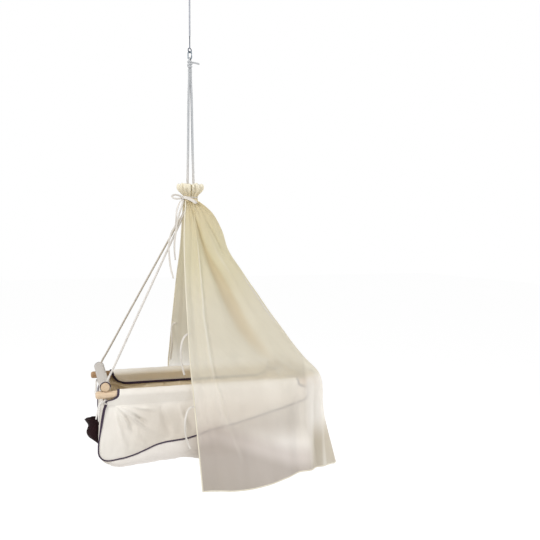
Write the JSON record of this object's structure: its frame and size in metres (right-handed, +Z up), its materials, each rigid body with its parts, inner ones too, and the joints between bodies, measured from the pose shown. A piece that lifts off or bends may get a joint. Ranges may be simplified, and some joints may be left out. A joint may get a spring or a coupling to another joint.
{
  "type": "hanging baby cradle",
  "caption": "Fabric trough cradle on wooden rails and crossbars, hung by ropes from a carabiner, cable and ceiling plate, with a gathered veil over its head end.",
  "frame": {"origin": "middle of the ceiling plate's top face, which lies against the ceiling", "axes": "+Z up, +X towards the cradle's head end, under the veil, and -Y its near side"},
  "size_m": [1.1247, 0.5786, 2.1876],
  "materials": {
    "wood": "planed pale wood, clear oil",
    "canvas": "heavy off-white cotton canvas",
    "piping": "dark purple-grey cotton bias binding",
    "rope": "three-strand cotton rope",
    "veil": "light cream cotton voile",
    "tie": "white cotton cord and tape",
    "pouch": "dark brown ribbed cloth",
    "steel": "zinc-plated steel",
    "cable": "grey plastic-coated hanging cable",
    "mattress": "cotton-covered mattress pad"
  },
  "bodies": {
    "ceiling_mount": {"ceiling_plate": "steel", "ceiling_eye": "steel"},
    "link": {"ceiling_link": "steel"},
    "cable": {"cable_upper_ring": "steel", "cable": "cable", "cable_lower_ring": "steel"},
    "carabiner": {"carabiner": "steel", "gate_pin": "steel"},
    "gate": {"carabiner_gate": "steel"},
    "mattress": {"mattress": "mattress"},
    "cradle": {"near_rail": "wood", "far_rail": "wood", "foot_crossbar": "wood", "head_crossbar": "wood", "foot_near_rope": "rope", "foot_near_knot": "rope", "foot_near_upper_tail": "rope", "foot_near_lower_tail": "rope", "foot_near_bar_binding": "piping", "foot_far_rope": "rope", "foot_far_knot": "rope", "foot_far_upper_tail": "rope", "foot_far_lower_tail": "rope", "foot_far_bar_binding": "piping", "head_near_rope": "rope", "head_near_knot": "rope", "head_near_upper_tail": "rope", "head_near_lower_tail": "rope", "head_near_bar_binding": "piping", "head_far_rope": "rope", "head_far_knot": "rope", "head_far_upper_tail": "rope", "head_far_lower_tail": "rope", "head_far_bar_binding": "piping", "top_knot": "rope", "foot_end_panel": "canvas", "head_end_panel": "canvas", "base_panel": "canvas", "near_side_panel": "canvas", "far_side_panel": "canvas", "near_piping": "piping", "far_piping": "piping", "near_sleeve_binding": "piping", "far_sleeve_binding": "piping", "foot_pouch": "pouch", "veil_near_panel": "veil", "veil_head_panel": "veil", "veil_far_panel": "veil", "veil_gather": "veil", "drawstring": "tie", "drawstring_long_tail": "tie", "drawstring_short_tail": "tie", "near_upper_tie": "tie", "near_lower_tie": "tie", "far_upper_tie": "tie", "far_lower_tie": "tie"}
  },
  "joints": [
    {"name": "sway_side", "type": "hinge", "parent": "ceiling_mount", "child": "link", "pos_m": [0, 0, -0.0313], "axis": [1, 0, 0], "range_deg": [-15, 15]},
    {"name": "sway_end", "type": "hinge", "parent": "link", "child": "cable", "pos_m": [0, 0, -0.0555], "axis": [0, 1, 0], "range_deg": [-15, 15]},
    {"name": "carabiner_turn", "type": "hinge", "parent": "cable", "child": "carabiner", "pos_m": [0, 0, -0.35245], "axis": [0, 0, 1], "range_deg": [-65, 15]},
    {"name": "gate_open", "type": "hinge", "parent": "carabiner", "child": "gate", "pos_m": [0.00693, -0.004, -0.3722], "axis": [-0.5, -0.866, 0], "range_deg": [0, 25], "stiffness_Nm_per_rad": 0.02, "springref_deg": -11.46},
    {"name": "cradle_rock", "type": "hinge", "parent": "carabiner", "child": "cradle", "pos_m": [0, 0, -0.383], "axis": [0.866, -0.5, 0], "range_deg": [-12, 12]},
    {"name": "mattress_lift", "type": "slide", "parent": "cradle", "child": "mattress", "axis": [0, 0, 1], "range_m": [0, 0.12]}
  ]
}
